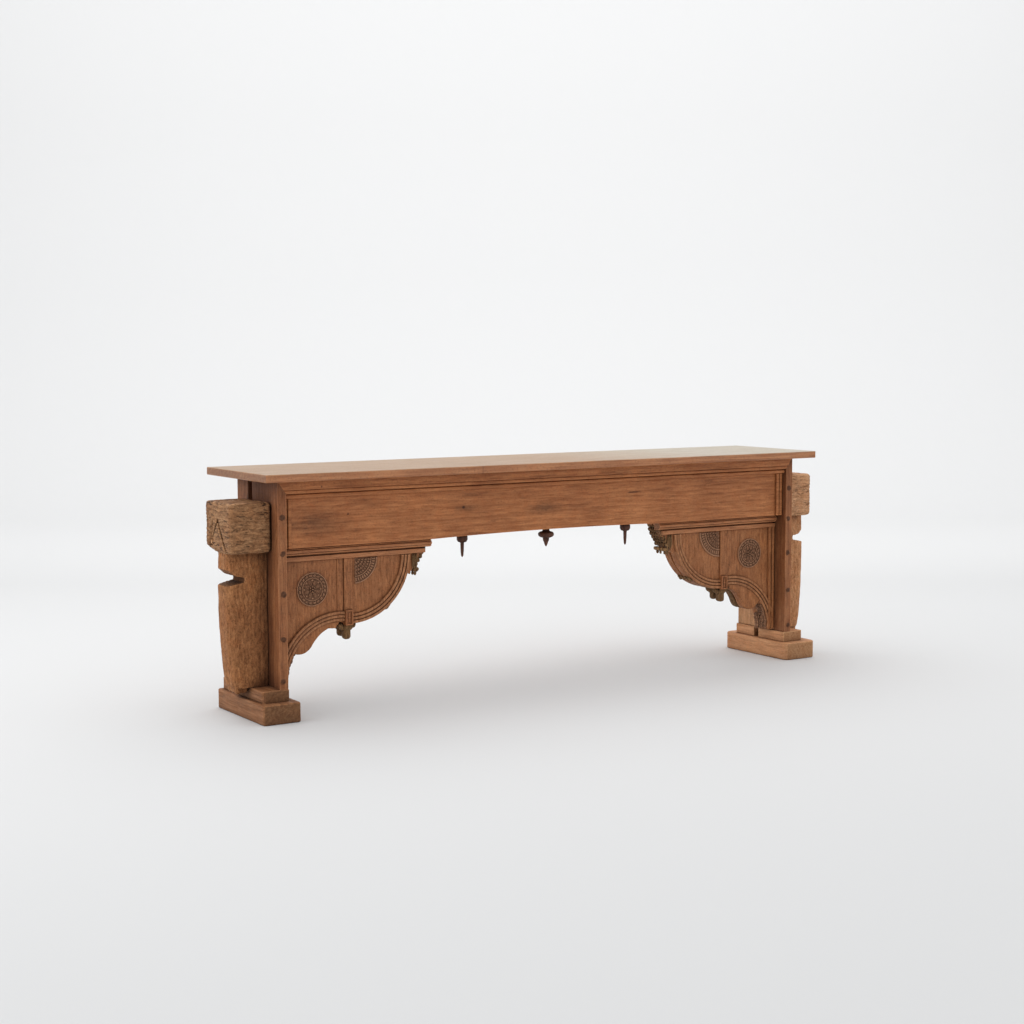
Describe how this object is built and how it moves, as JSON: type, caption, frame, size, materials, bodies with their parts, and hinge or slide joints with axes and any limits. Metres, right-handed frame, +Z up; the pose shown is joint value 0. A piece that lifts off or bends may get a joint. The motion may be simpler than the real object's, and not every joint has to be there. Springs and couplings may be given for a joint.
{
  "type": "console table",
  "caption": "Long console table made up from salvaged carved architectural woodwork, with scrolled spandrel brackets under a cambered frieze and weathered corbels on the ends.",
  "frame": {"origin": "on the floor, at the middle of the table's overall length and depth", "axes": "+X along the table to the right as seen from the carved front, the carved front faces -Y, +Z up"},
  "size_m": [2.3216, 0.446, 0.76],
  "materials": {
    "top_wood": "satin",
    "front_wood": "satin",
    "jamb_wood": "satin",
    "carved_wood": "satin",
    "weathered_wood": "matte",
    "plinth_wood": "matte",
    "turned_wood": "satin"
  },
  "bodies": {
    "root": {"table_top": "top_wood", "front_rail": "front_wood", "upper_moulding": "front_wood", "frieze": "front_wood", "rear_rail": "jamb_wood", "foot_left": "plinth_wood", "base_block_front_left": "plinth_wood", "base_block_rear_left": "plinth_wood", "jamb_left": "jamb_wood", "rear_post_left": "jamb_wood", "corbel_left": "weathered_wood", "bracket_left": "carved_wood", "foot_right": "plinth_wood", "base_block_front_right": "plinth_wood", "base_block_rear_right": "plinth_wood", "jamb_right": "jamb_wood", "rear_post_right": "jamb_wood", "corbel_right": "weathered_wood", "bracket_right": "carved_wood", "finial_left": "turned_wood", "finial_middle": "turned_wood", "finial_right": "turned_wood"}
  },
  "joints": []
}
